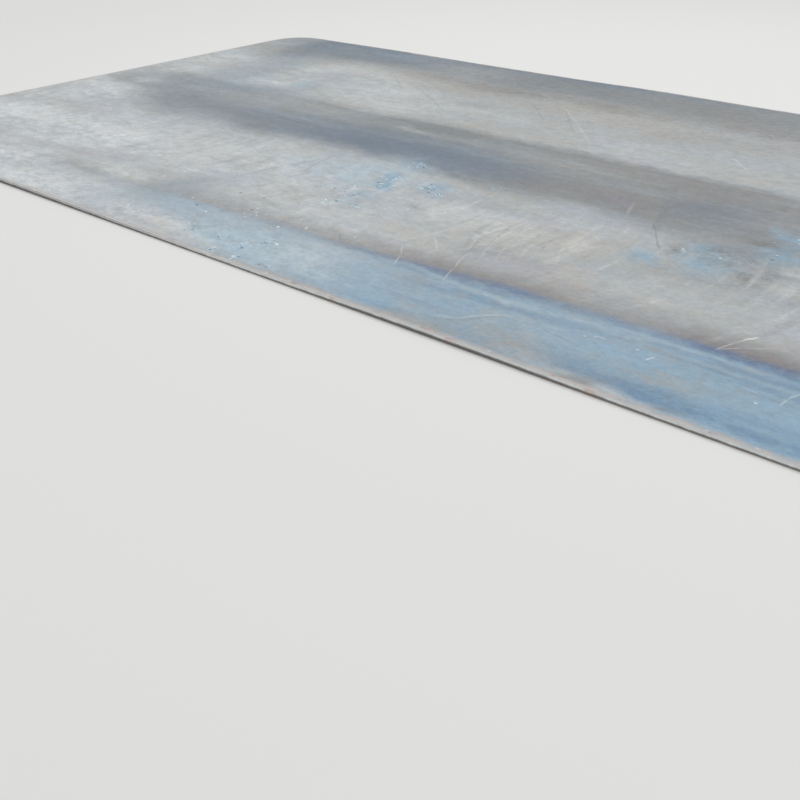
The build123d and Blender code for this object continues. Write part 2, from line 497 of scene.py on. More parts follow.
stains = [  # tone, X, Y, reach along and across its own turn, turn in degrees, strength
    # left end and far half
    ("paleSlate", -2.62, 0.44, 0.2, 0.42, 4, 0.6),
    ("paleSlate", -2.25, 0.3, 0.08, 0.3, 8, 0.45),
    ("silver", -1.95, 0.36, 0.5, 0.2, 0, 0.2),
    ("cream", -2.25, 0.62, 0.7, 0.13, -2, 0.7),
    ("silver", -2.32, 0.6, 0.3, 0.09, 0, 0.35),
    ("brownGrey", -1.4, 0.57, 0.2, 0.08, 0, 0.22),
    ("cream", -1.3, 0.6, 0.9, 0.17, -2, 0.8),
    ("tan", -1.65, 0.58, 0.45, 0.1, -2, 0.45),
    ("slate", -2.6, 0.84, 0.36, 0.16, 0, 0.4),
    ("brownGrey", -1.55, 0.69, 0.7, 0.1, 0, 0.75),
    ("brownGrey", -0.82, 0.69, 0.36, 0.1, 0, 0.55),
    ("slate", -1.3, 0.985, 0.8, 0.08, 0, 0.9),
    ("skyBlue", -2.48, 0.18, 0.22, 0.2, 0, 0.3),
    ("paleSlate", -2.58, 0.24, 0.22, 0.14, 0, 0.6),
    ("silver", -2.8, 0.00, 0.12, 0.06, 0, 0.6),
    ("paleSlate", -2.64, 0.62, 0.2, 0.15, 0, 0.7),
    ("skyBlue", -2.32, 0.91, 0.18, 0.06, 0, 0.22),
    ("slate", -2.48, 0.11, 0.15, 0.06, 0, 0.4),
    ("slate", -2.69, 0.7, 0.13, 0.1, 0, 0.45),
    ("paleSlate", -2.9, 0.55, 0.12, 0.08, 0, 0.5),
    ("paleSlate", -2.56, 0.47, 0.13, 0.11, 0, 0.5),
    ("skyBlue", -2.28, 0.3, 0.07, 0.08, 0, 0.35),
    ("greyGreen", -1.58, 0.45, 0.3, 0.07, 0, 0.3),
    ("silver", -2.06, 0.54, 0.12, 0.06, 0, 0.5),
    ("silver", -2.04, 0.24, 0.12, 0.06, 0, 0.4),
    ("tan", -1.88, 0.85, 0.26, 0.07, 0, 0.5),
    ("paleSlate", -2.29, 0.17, 0.24, 0.09, 0, 0.7),
    ("brownGrey", -0.8, 0.6, 0.6, 0.3, 0, 0.3),
    ("brownGrey", -0.95, 0.86, 0.5, 0.14, 0, 0.35),
    ("warmCream", -2.04, 0.08, 0.2, 0.07, -10, 0.2),
    ("warmCream", -2.38, 0.02, 0.18, 0.06, -15, 0.1),
    # middle band
    ("slate", -1.6, -0.1, 0.7, 0.14, 0, 0.42),
    ("paleSlate", -1.95, -0.06, 0.3, 0.05, 0, 0.5),
    ("greyGreen", -1.74, 0.07, 0.16, 0.04, 0, 0.6),
    ("slate", -1.24, -0.13, 0.3, 0.11, 0, 0.95),
    ("paleSlate", -1.45, -0.03, 0.4, 0.03, 0, 0.3),
    ("pinkDust", -1.4, 0.055, 0.18, 0.025, -4, 0.2),
    ("slate", -1.26, 0.035, 0.15, 0.06, 0, 0.28),
    ("greyGreen", -1.45, 0.11, 0.6, 0.05, 0, 0.8),
    ("silver", -1.57, 0.065, 0.14, 0.03, -18, 0.25),
    ("tan", -1.02, 0.05, 0.3, 0.08, 0, 0.45),
    ("brownGrey", -0.93, -0.12, 0.4, 0.12, 0, 0.6),
    ("violet", -0.79, -0.13, 0.08, 0.06, 0, 0.4),
    ("slate", -0.56, -0.08, 0.16, 0.14, 0, 0.5),
    ("smut", -0.4, -0.21, 0.1, 0.05, 0, 0.35),
    # near pale band
    ("silver", -2.45, -0.55, 0.75, 0.34, 8, 0.8),
    ("bright", -2.22, -0.56, 0.45, 0.2, 4, 0.78),
    ("bright", -2.8, -0.2, 0.3, 0.16, 4, 0.5),
    ("bright", -1.22, -0.62, 0.3, 0.1, 0, 0.55),
    ("lilac", -2.55, -0.38, 0.3, 0.06, 6, 0.6),
    ("tan", -2.13, -0.6, 0.1, 0.035, 10, 0.35),
    ("paleBlue", -1.3, -0.9, 0.45, 0.15, 0, 0.85),
    ("silver", -1.75, -0.42, 0.48, 0.24, 0, 0.6),
    ("violet", -2.18, -0.7, 0.4, 0.06, 12, 0.35),
    ("bright", -2.04, -0.935, 0.42, 0.13, 8, 0.95),
    ("bright", -2.35, -0.85, 0.24, 0.12, 20, 0.75),
    ("bright", -2.75, -0.56, 0.26, 0.12, 10, 0.7),
    ("bright", -1.62, -0.965, 0.34, 0.07, 0, 0.9),
    ("silver", -1.53, -0.52, 0.18, 0.11, 0, 0.6),
    ("silver", -1.93, -0.755, 0.15, 0.08, 0, 0.7),
    ("paleBlue", -1.66, -0.83, 0.22, 0.06, 0, 0.5),
    ("silver", -1.68, -0.61, 0.36, 0.08, 0, 1.0),
    ("paleSlate", -1.73, -0.76, 0.11, 0.32, -22, 0.62),
    ("skyBlue", -1.05, -0.9, 0.4, 0.08, 0, 0.1),
    ("silver", -1.14, -0.87, 0.16, 0.09, 0, 0.38),
    ("paleBlue", -0.99, -0.85, 0.11, 0.04, 0, 0.5),
    ("skyBlue", -1.7, -0.87, 0.24, 0.08, 0, 0.3),
    ("slate", -2.6, 0.05, 0.3, 0.14, 0, 0.5),
    ("silver", -1.25, -0.64, 0.4, 0.14, 0, 0.5),
    ("cream", -2.12, -0.48, 0.3, 0.1, 0, 0.15),
    ("paleBlue", -1.45, -0.36, 0.28, 0.18, 10, 0.7),
    ("silver", -0.98, -0.49, 0.48, 0.09, 0, 0.95),
    ("paleSlate", -1.3, -0.235, 0.09, 0.035, 0, 0.6),
    ("paleSlate", -2.27, -0.35, 0.14, 0.07, 0, 0.45),
    ("clearBlue", -1.325, -0.385, 0.038, 0.095, 12, 1.0),
    ("clearBlue", -1.34, -0.51, 0.045, 0.05, 20, 0.35),
    ("clearBlue", -1.19, -0.36, 0.06, 0.08, 25, 0.65),
    ("paleSlate", -1.6, -0.29, 0.08, 0.05, 0, 0.4),
    ("clearBlue", -1.35, -0.22, 0.05, 0.06, 10, 0.4),
    ("clearBlue", -1.3, -0.54, 0.05, 0.09, 20, 0.4),
    ("tan", -1.44, -0.6, 0.15, 0.1, 0, 0.25),
    ("cream", -1.12, -0.56, 0.28, 0.15, -6, 0.5),
    ("brownGrey", -1.02, -0.73, 0.34, 0.04, 3, 0.15),
    ("warmCream", -0.62, -0.635, 0.13, 0.075, 0, 0.8),
    ("brownGrey", -0.52, -0.685, 0.36, 0.06, 0, 0.3),
    ("cream", -0.72, -0.5, 0.36, 0.14, 0, 0.7),
    ("brownGrey", -0.84, -0.625, 0.2, 0.06, 0, 0.35),
    ("warmCream", -1.12, -0.64, 0.24, 0.06, 0, 0.5),
    ("paleSlate", -0.6, -0.54, 0.11, 0.05, 0, 0.4),
    ("warmCream", -0.4, -0.6, 0.2, 0.09, 6, 0.4),
    ("greyGreen", -0.98, -0.38, 0.2, 0.06, 0, 0.15),
    ("greyGreen", -0.4, -0.47, 0.3, 0.08, 0, 0.35),
    ("skyBlue", -0.585, -0.435, 0.055, 0.075, 30, 0.9),
    ("skyBlue", -0.462, -0.395, 0.075, 0.09, 30, 0.9),
    ("clearBlue", -0.43, -0.33, 0.06, 0.09, 20, 0.85),
    ("clearBlue", -0.362, -0.27, 0.055, 0.08, 20, 0.8),
    ("clearBlue", -0.354, -0.15, 0.045, 0.09, 10, 0.8),
    ("smut", -0.532, -0.355, 0.04, 0.045, 20, 0.45),
    ("smut", -0.366, -0.4, 0.045, 0.085, 10, 0.45),
    ("greyGreen", -0.42, -0.31, 0.13, 0.1, 0, 0.8),
    ("clearBlue", -0.49, -0.31, 0.05, 0.05, 0, 0.5),
    ("smut", -0.333, -0.36, 0.04, 0.075, 0, 0.4),
    ("smut", -1.15, -0.5, 0.045, 0.02, 0, 0.4),
    ("smut", -1.28, -0.6, 0.05, 0.02, 10, 0.3),
    # near blue band
    ("clearBlue", -0.91, -0.95, 0.08, 0.055, 0, 0.5),
    ("clearBlue", -0.752, -0.965, 0.06, 0.045, 40, 0.7),
    ("tan", -0.54, -0.79, 0.32, 0.055, 2, 0.3),
    ("deepBlue", -1.00, -0.86, 0.2, 0.06, 0, 0.2),
    ("paleBlue", -0.62, -0.785, 0.6, 0.02, 2, 0.5),
    ("pale", -0.6, -0.87, 0.14, 0.06, 0, 0.5),
    ("tan", -0.6, -0.94, 0.2, 0.075, 0, 0.7),
    ("tan", -0.8, -0.995, 0.7, 0.04, 0, 0.6),
    ("tan", -0.35, -0.885, 0.3, 0.03, 2, 0.12),
    ("tan", -0.88, -0.835, 0.1, 0.03, 5, 0.2),
    ("deepBlue", -0.22, -0.94, 0.36, 0.036, -3, 1.0),
    ("deepBlue", -0.6, -0.805, 0.3, 0.022, 3, 0.3),
    ("silver", -0.38, -0.968, 0.26, 0.025, 0, 0.4),
    ("smut", -0.43, -0.972, 0.06, 0.03, 25, 0.35),
    ("smut", -0.245, -0.965, 0.04, 0.018, 0, 0.3),
    ("tan", -1.55, -0.98, 0.35, 0.045, 0, 0.3),
    ("silver", -1.9, -0.93, 0.5, 0.1, 0, 0.35),
    # the half past the photo's edge
    ("clearBlue", 0.28, -0.36, 0.12, 0.07, 15, 0.7),
    ("warmCream", 0.45, -0.57, 0.36, 0.13, 4, 0.7),
    ("silver", 0.9, -0.45, 0.6, 0.18, 0, 0.6),
    ("paleSlate", 0.7, 0.42, 0.36, 0.24, 0, 0.6),
    ("silver", 1.3, 0.4, 0.7, 0.2, 0, 0.6),
    ("cream", 0.4, 0.6, 0.8, 0.12, -2, 0.8),
    ("cream", 2.00, 0.58, 0.7, 0.12, 2, 0.8),
    ("tan", 1.55, 0.02, 0.4, 0.08, 0, 0.6),
    ("slate", 1.05, -0.08, 0.5, 0.12, 0, 0.8),
    ("clearBlue", 1.72, -0.5, 0.11, 0.09, 30, 0.7),
    ("smut", 1.6, -0.42, 0.08, 0.04, 0, 0.5),
    ("tan", 1.1, -0.94, 0.4, 0.06, 0, 0.8),
    ("deepBlue", 0.75, -0.86, 0.5, 0.04, 2, 0.8),
    ("paleSlate", 2.3, -0.55, 0.12, 0.3, -12, 0.7),
    ("silver", 2.75, -0.3, 0.3, 0.5, 0, 0.7),
    ("slate", 2.45, 0.82, 0.4, 0.13, 0, 0.6),
]

scratches = [  # tone, half width, strength, then the points that the line runs through
    ("dust", 0.006, 0.9, [(-1.156, -0.992), (-1.147, -0.994)]),
    ("dust", 0.005, 0.9, [(-1.089, -0.994), (-1.081, -0.994)]),
    ("dust", 0.006, 0.9, [(-0.982, -0.993), (-0.972, -0.995)]),
    ("dust", 0.005, 0.8, [(-0.602, -0.994), (-0.592, -0.995)]),
    ("dust", 0.0045, 0.8, [(-0.203, -0.995), (-0.197, -0.995)]),
    ("dust", 0.0045, 0.9, [(-0.127, -0.995), (-0.119, -0.995)]),
    ("dust", 0.005, 0.8, [(0.395, -0.994), (0.405, -0.995)]),
    ("dust", 0.005, 0.8, [(1.215, -0.994), (1.225, -0.995)]),
    ("dust", 0.003, 0.36, [(-1.022, -0.704), (-0.994, -0.747), (-0.972, -0.795)]),
    ("dust", 0.0028, 0.42, [(-1.001, -0.619), (-0.966, -0.65), (-0.947, -0.681), (-0.961, -0.685)]),
    ("dust", 0.003, 0.4, [(-0.842, -0.8), (-0.862, -0.735), (-0.893, -0.638)]),
    ("dust", 0.005, 0.24, [(-0.893, -0.638), (-0.923, -0.556), (-0.935, -0.477), (-0.926, -0.436)]),
    ("smut", 0.006, 0.22, [(-0.881, -0.685), (-0.914, -0.549), (-0.9, -0.47)]),
    ("smut", 0.005, 0.22, [(-0.866, -0.608), (-0.891, -0.531), (-0.904, -0.436)]),
    ("dust", 0.0055, 0.22, [(-0.85, -0.66), (-0.88, -0.56), (-0.885, -0.47)]),
    ("smut", 0.004, 0.22, [(-0.809, -0.556), (-0.819, -0.496), (-0.819, -0.455)]),
    ("dust", 0.006, 0.16, [(-0.785, -0.6), (-0.8, -0.54), (-0.8, -0.48)]),
    ("smut", 0.0035, 0.3, [(-1.188, -0.728), (-1.145, -0.772), (-1.096, -0.793)]),
    ("smut", 0.013, 0.22, [(-0.655, -0.045), (-0.672, -0.12), (-0.655, -0.2), (-0.622, -0.27)]),
    ("smut", 0.005, 0.45, [(-0.656, -0.226), (-0.624, -0.277), (-0.6, -0.322), (-0.573, -0.37)]),
    ("dust", 0.003, 0.5, [(-0.294, -0.735), (-0.275, -0.69), (-0.252, -0.64)]),
    ("dust", 0.0026, 0.36, [(-0.294, -0.735), (-0.255, -0.7), (-0.212, -0.668)]),
    ("dust", 0.0055, 0.7, [(-0.268, -0.672), (-0.25, -0.645)]),
    ("dust", 0.003, 0.4, [(-0.3, -0.632), (-0.274, -0.61)]),
    ("dust", 0.003, 0.5, [(-0.484, -0.826), (-0.475, -0.82), (-0.463, -0.822)]),
    ("dust", 0.004, 0.6, [(-0.499, -0.836), (-0.494, -0.834)]),
    ("dust", 0.0035, 0.6, [(-0.372, -0.85), (-0.364, -0.828)]),
    ("dust", 0.004, 0.7, [(-0.404, -0.826), (-0.398, -0.822)]),
    ("dust", 0.0032, 0.42, [(-0.142, -0.856), (-0.137, -0.83), (-0.128, -0.8)]),
    ("dust", 0.003, 0.35, [(-0.207, -0.836), (-0.18, -0.838)]),
    ("dust", 0.008, 0.18, [(-0.752, -0.13), (-0.73, -0.215)]),
    ("dust", 0.005, 0.9, [(-1.265, -0.75), (-1.262, -0.763)]),
    ("dust", 0.004, 0.8, [(-0.534, -0.33), (-0.53, -0.342)]),
    ("smut", 0.008, 0.25, [(-1.67, -0.56), (-1.64, -0.45), (-1.6, -0.34)]),
    ("smut", 0.007, 0.2, [(-1.56, -0.46), (-1.59, -0.37), (-1.6, -0.29)]),
    ("smut", 0.007, 0.25, [(-1.92, 0.51), (-1.77, 0.4), (-1.65, 0.3)]),
    ("smut", 0.006, 0.25, [(-1.48, 0.575), (-1.41, 0.5), (-1.34, 0.415)]),
    ("smut", 0.006, 0.18, [(-0.905, -0.64), (-0.945, -0.54), (-0.95, -0.45)]),
    ("dust", 0.006, 0.16, [(-0.82, -0.64), (-0.85, -0.55), (-0.862, -0.45)]),
    ("smut", 0.005, 0.16, [(-0.76, -0.57), (-0.78, -0.5), (-0.785, -0.44)]),
    ("dust", 0.007, 0.14, [(-0.7, -0.59), (-0.735, -0.52), (-0.745, -0.45)]),
    ("smut", 0.004, 0.25, [
        (-0.781, -0.95), (-0.735, -0.948), (-0.7, -0.915), (-0.665, -0.866), (-0.59, -0.856), (-0.505, -0.874)]),
    ("dust", 0.006, 0.25, [(-0.76, -0.938), (-0.722, -0.925), (-0.69, -0.88), (-0.64, -0.846)]),
    ("dust", 0.006, 0.25, [(-1.36, 0.59), (-1.23, 0.44), (-1.095, 0.275)]),
    ("smut", 0.006, 0.2, [(-1.33, 0.54), (-1.25, 0.43), (-1.18, 0.33)]),
    ("dust", 0.006, 0.25, [(-0.73, 0.415), (-0.63, 0.3)]),
    ("smut", 0.007, 0.22, [(-2.12, 0.62), (-1.96, 0.47)]),
    ("dust", 0.004, 0.5, [(0.42, -0.64), (0.48, -0.56), (0.52, -0.48)]),
    ("smut", 0.005, 0.35, [(0.9, 0.42), (0.96, 0.33), (1.06, 0.24)]),
    ("dust", 0.004, 0.4, [(1.25, -0.3), (1.35, -0.4), (1.42, -0.52)]),
    ("smut", 0.005, 0.4, [(2.05, 0.1), (2.11, -0.08), (2.12, -0.26)]),
    ("dust", 0.004, 0.5, [(2.3, -0.82), (2.38, -0.68)]),
]

scaleNoises = {  # metres along and across the plate, seed, detail and roughness
    "broad": (0.30, 0.16, 3.1, 4.0, 0.58),
    "small": (0.040, 0.028, 14.2, 3.0, 0.6),
    "grain": (0.0110, 0.0085, 21.6, 1.6, 0.85),
    "coarse": (0.028, 0.024, 27.3, 2.0, 0.7),
    "streaks": (0.60, 0.022, 6.6, 3.0, 0.55),
    "underside": (0.4, 0.15, 4.4, 4.0, 0.6),
}
mottling = {  # how much each noise changes the brightness
    "broad": 0.10, "mottle": 0.28, "small": 0.10, "coarse": 0.34, "coarseAcross": 0.16, "grain": 0.40, "streaks": 0.07,
}
tinting = {"patchy": 0.10, "warmth": 0.15, "tinge": 0.05}  # how much each noise warms and cools the colour
# the bright reach is the rolled lip, which gets bright dust and a painted highlight
rimReach = {"dust": (0.015, 0.003), "rust": (0.010, 0.002), "bright": (0.0045, 0.0015)}  # none and full, from the edge


def paintMillScale(material):
    f = Finish(material, scaleTones, "pale")
    broadFields = f.fields(*scaleNoises["broad"])
    smallFields = f.fields(*scaleNoises["small"])
    grainFields = f.fields(*scaleNoises["grain"])
    coarseFields = f.fields(*scaleNoises["coarse"])
    broad, wide, patchy = (f.parts(broadFields)[axis] for axis in "XYZ")
    small, mottle, warmth = (f.parts(smallFields)[axis] for axis in "XYZ")
    grain, grit = (f.parts(grainFields)[axis] for axis in "XY")
    coarse, tinge = (f.parts(coarseFields)[axis] for axis in "XY")
    alongFields = f.parts(f.fields(*scaleNoises["streaks"]))
    streaks, silk = alongFields["X"], alongFields["Y"]

    # places shifted by the noises, so that what is laid by them gets uneven borders
    shifted = f.vector("MULTIPLY_ADD", broadFields, (0.22, 0.13, 0), f.place)
    shifted = f.vector("MULTIPLY_ADD", smallFields, (0.045, 0.035, 0), shifted)
    crooked = f.vector("MULTIPLY_ADD", smallFields, (0.010, 0.010, 0), f.place)
    looseY = f.parts(shifted)["Y"]
    worn = f.step(f.add(patchy, mottle, f.times(grit, 0.8)), -0.30, 0.24, 0.30, 1.0)

    # ground: pale, silvery towards the left end, with creamier streaks along the plate
    f.lay("cream", f.step(f.add(wide, f.times(streaks, 0.5)), -0.14, 0.20, 0.0, 0.75))
    f.lay("lilac", f.step(f.add(f.times(wide, -1), f.times(silk, 0.4)), 0.0, 0.26, 0.0, 0.7))
    silvery = f.step(f.add(broad, f.times(mottle, 0.15)), -0.14, 0.26)
    f.lay("silver", f.times(silvery, f.trace(bandLines["silver ground"])))

    # far band
    far = f.step(f.minus(looseY, f.trace(bandLines["far border"])), -0.13, 0.11)
    far = f.times(far, f.trace(bandLines["far strength"]))
    f.lay("greyGreen", far)
    deep = f.times(f.step(looseY, 0.72, 0.86), f.step(patchy, -0.25, 0.15, 0.4, 1.0))
    f.lay("slate", f.times(far, f.trace(bandLines["far blueness"]), deep))

    # dark band along the middle
    top = f.step(f.minus(looseY, f.trace(bandLines["middle top"])), 0.032, -0.050)
    foot = f.step(f.minus(looseY, f.trace(bandLines["middle foot"])), -0.090, 0.100)
    uneven = f.step(f.add(patchy, f.times(mottle, 0.8), f.times(streaks, 0.7)), -0.35, 0.20, 0.62, 1.0)
    dark = f.times(top, foot, uneven, f.trace(bandLines["middle strength"]))
    blueness = f.trace(bandLines["middle blueness"])
    f.lay("greyGreen", f.times(dark, 0.9))
    f.lay("slate", f.times(dark, blueness, f.step(f.add(looseY, f.times(streaks, 0.1)), 0.10, -0.12)))
    f.lay("brownGrey", f.times(dark, f.minus(1, blueness), f.step(f.add(patchy, streaks), -0.3, 0.1), 0.8))

    # near blue band, with a mauve shade and an indigo line along its border
    looseBorder = f.add(f.y, f.times(patchy, 0.030), f.times(small, 0.014))
    fromBorder = f.minus(looseBorder, f.trace(bandLines["blue border"]))
    blueStrength, indigoStrength = f.trace(bandLines["blue strength"]), f.trace(bandLines["indigo strength"])
    besideBorder = f.times(f.step(fromBorder, 0.12, 0.0), f.step(fromBorder, -0.03, 0.0))
    f.lay("brownGrey", f.times(besideBorder, f.times(f.add(indigoStrength, 0.15), 0.75)))
    blue = f.times(f.step(fromBorder, 0.022, -0.034), blueStrength)
    f.lay("skyBlue", blue)
    f.lay("deepBlue", f.times(blue, f.step(f.add(streaks, f.times(mottle, 0.4)), -0.10, 0.20), 0.75))
    tanPatches = f.step(f.add(f.times(patchy, 0.8), f.times(silk, 0.5), f.times(mottle, 0.8)), -0.05, 0.25)
    f.lay("tan", f.times(blue, tanPatches, 0.55))
    line = f.times(f.step(fromBorder, -0.046, -0.004), f.step(fromBorder, 0.018, -0.004))
    f.lay("indigo", f.times(line, indigoStrength, worn, 0.85))
    f.lay("mauve", f.times(f.within(fromBorder, 0.006, 0.026, 0.022), indigoStrength, 0.6))

    for tone, x, y, reachX, reachY, turn, strength in stains:
        stain = f.spot(shifted, x, y, reachX, reachY, radians(turn))
        f.lay(tone, f.times(stain, worn, strength * stainStrength))

    # rubbed streaks across the plate in the near pale band
    bowed = f.add(f.x, f.times(f.math("POWER", f.add(f.y, 0.55), 2), 0.9), f.times(f.y, -0.25))
    rubbed = f.noise(f.point(f.over(bowed, 0.030), f.over(f.y, 0.26), 31.4), 1.0, 3.0, 0.6)
    rubbedWhere = f.times(f.within(f.y, -0.66, -0.30, 0.14), worn)
    f.lay("smut", f.times(f.step(rubbed, 0.52, 0.75), rubbedWhere, 0.26))
    f.lay("dust", f.times(f.step(rubbed, 0.48, 0.25), rubbedWhere, 0.36))

    for tone, width, strength, points in scratches:
        f.scratch(tone, crooked, width, strength, points)

    # broad to fine mottling, and a tint that changes with it
    coarseShare = f.add(mottling["coarse"], f.times(f.y, mottling["coarseAcross"]))
    unevenness = f.times(coarse, coarseShare)
    for name, noise in (("broad", broad), ("mottle", mottle), ("small", small), ("grain", grain), ("streaks", streaks)):
        unevenness = f.add(unevenness, f.times(noise, mottling[name]))
    f.shade(f.times(f.add(1, unevenness), f.trace(bandLines["brightness"])))
    tint = f.add(f.times(patchy, tinting["patchy"]), f.times(warmth, tinting["warmth"]))
    tint = f.add(tint, f.times(tinge, tinting["tinge"]))
    f.colour = f.vector("MULTIPLY", f.colour, f.point(f.add(1, tint), 1.0, f.minus(1, tint)))

    # rim: dusty and a little rusty, and where the lip rolls over, bright dust with a painted highlight
    fromEdge = f.node("ShaderNodeAttribute", attribute_name="fromEdge").outputs["Fac"]
    ragged = f.add(fromEdge, f.times(small, 0.010), f.times(patchy, 0.010))
    f.lay("pinkDust", f.times(f.step(ragged, *rimReach["dust"]), f.step(mottle, -0.25, 0.15, 0.40, 0.85)))
    f.lay("rust", f.times(f.step(fromEdge, *rimReach["rust"]), f.step(f.add(patchy, small), 0.12, 0.26), 0.6))
    # painted highlight on the rolled lip, laid with the dust tone together with real dust
    lipDustAndHighlight = f.times(f.step(fromEdge, *rimReach["bright"]), f.step(mottle, -0.2, 0.15, 0.1, 0.7))
    f.lay("dust", f.times(lipDustAndHighlight, f.trace(bandLines["rim dust and lip highlight"])))

    roughness = f.add(0.55, f.times(patchy, 0.20), f.times(small, 0.15))
    height = f.add(f.times(grain, 0.35), f.times(small, 0.8))
    f.close(roughness, height, 0.0006, Metallic=0.2, Specular_IOR_Level=0.35)


def paintShearedEdge(material):
    # sheared face: silver with dust near the lip, a darker torn part below and rust; the silver and the lift below are
    # partly a painted highlight on the upright land
    f = Finish(material, scaleTones, "silver")
    level = f.node("ShaderNodeAttribute", attribute_name="level").outputs["Fac"]
    coarse = f.noise(f.place, 45, 4, 0.6)
    f.lay("pinkDust", f.times(f.step(level, 0.0072, 0.0090), f.step(coarse, 0.35, 0.55, 0.3, 0.9)))
    f.lay("torn", f.times(f.step(f.add(level, f.times(f.minus(coarse, 0.5), 0.003)), 0.0048, 0.0028), 0.95))
    f.lay("rust", f.times(f.step(f.noise(f.place, 14, 4, 0.6), 0.58, 0.70), 0.5))
    # painted highlight: the face is lifted about 1.3 times, with coarse noise, and is darker towards the left end by
    # the cut edge line
    unevenness = f.add(1.3, f.times(f.minus(coarse, 0.5), 0.8))
    f.shade(f.times(unevenness, f.trace(bandLines["cut edge"])))
    f.close(0.6, f.noise(f.place, 260, 3), 0.0004, Metallic=0.1)


def paintUnderside(material):
    f = Finish(material, scaleTones, "smut")
    patches = f.parts(f.fields(*scaleNoises["underside"]))
    f.lay("rust", f.times(f.step(patches["X"], -0.1, 0.2), 0.45))
    f.lay("brownGrey", f.times(f.step(patches["Y"], -0.05, 0.15), 0.5))
    f.close(0.7, f.noise(f.place, 160, 3), 0.0004, Metallic=0.1)


millScale = bpy.data.materials.new("millScale")
shearedEdge = bpy.data.materials.new("shearedEdge")
undersideScale = bpy.data.materials.new("undersideScale")
paintMillScale(millScale)
paintShearedEdge(shearedEdge)
paintUnderside(undersideScale)
print("finishes made")

builder, identifiers = plateBodyTree(plateSizes, millScale, shearedEdge, undersideScale)
sectionPoints = edgeSection(plateSizes)
plateBody = newObject("plateBody", sectionPoints, [(n, n + 1) for n in range(len(sectionPoints) - 1)])
bodyMesh = runTree(plateBody, builder, identifiers, plateSizes)
bodyMesh.set_sharp_from_angle(angle=radians(40))
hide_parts("steel_plate")
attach(plateBody, "root")
triangles = sum(len(face.vertices) - 2 for face in bodyMesh.polygons)
print("plate body made,", triangles, "triangles")

# Loose scale: curled flakes that lie in groups on the upper face

flakeGroups = [  # X, Y, reach and how many flakes
    (-1.324, -0.405, 0.03, 60), (-1.338, -0.345, 0.03, 40), (-1.353, -0.212, 0.032, 44),
    (-1.215, -0.352, 0.03, 36), (-1.172, -0.38, 0.03, 36), (-1.329, -0.504, 0.025, 26),
    (-1.27, -0.575, 0.03, 30), (-1.266, -0.972, 0.02, 30), (-1.294, -0.922, 0.02, 36),
    (-1.262, -0.868, 0.024, 40), (-1.335, -0.975, 0.018, 26), (-1.178, -0.968, 0.016, 18),
    (-1.384, -0.487, 0.04, 30), (-1.352, -0.58, 0.035, 30), (-1.312, -0.728, 0.035, 6),
    (-1.428, -0.778, 0.035, 14), (-1.386, -0.91, 0.035, 24), (-1.479, -0.904, 0.035, 24),
    (-1.45, -0.73, 0.3, 56), (-1.28, -0.42, 0.26, 30), (-1.64, -0.82, 0.16, 14),
    (-1.097, -0.258, 0.02, 4), (-1.012, -0.221, 0.02, 4), (-1.055, -0.24, 0.06, 4),
    (-0.462, -0.32, 0.08, 9), (-0.362, -0.27, 0.06, 8), (-0.354, -0.15, 0.06, 6),
    (-0.535, -0.335, 0.02, 4), (-0.168, -0.878, 0.01, 1), (0.3, -0.36, 0.1, 60),
    (0.52, -0.9, 0.06, 30), (1.72, -0.5, 0.12, 130), (1.9, -0.78, 0.25, 150),
    (1.25, 0.32, 0.22, 60), (2.55, 0.5, 0.2, 40),
]

flakeSizes = {  # a flake's width and rise are shares of its own length
    "Smallest Flake": 0.003,
    "Largest Flake": 0.0135,
    "Size Power": 2.4,
    "Least Width": 0.5,
    "Least Rise": 0.06,
    "Most Rise": 0.20,
    "Highest Curl": 0.0027,
    "Curl": 0.88,
    "Cross Curl": 0.4,
    "Scatter": 1.4,
    "Sunk": 0.0002,
    "Rim Kept Clear": 0.010,
    "Seed": 7,
}
for label, size in plateSizes.items():  # the plate that they lie on
    if "Wave" in label or label in ("Length", "Width", "Thickness"):
        flakeSizes[label] = size


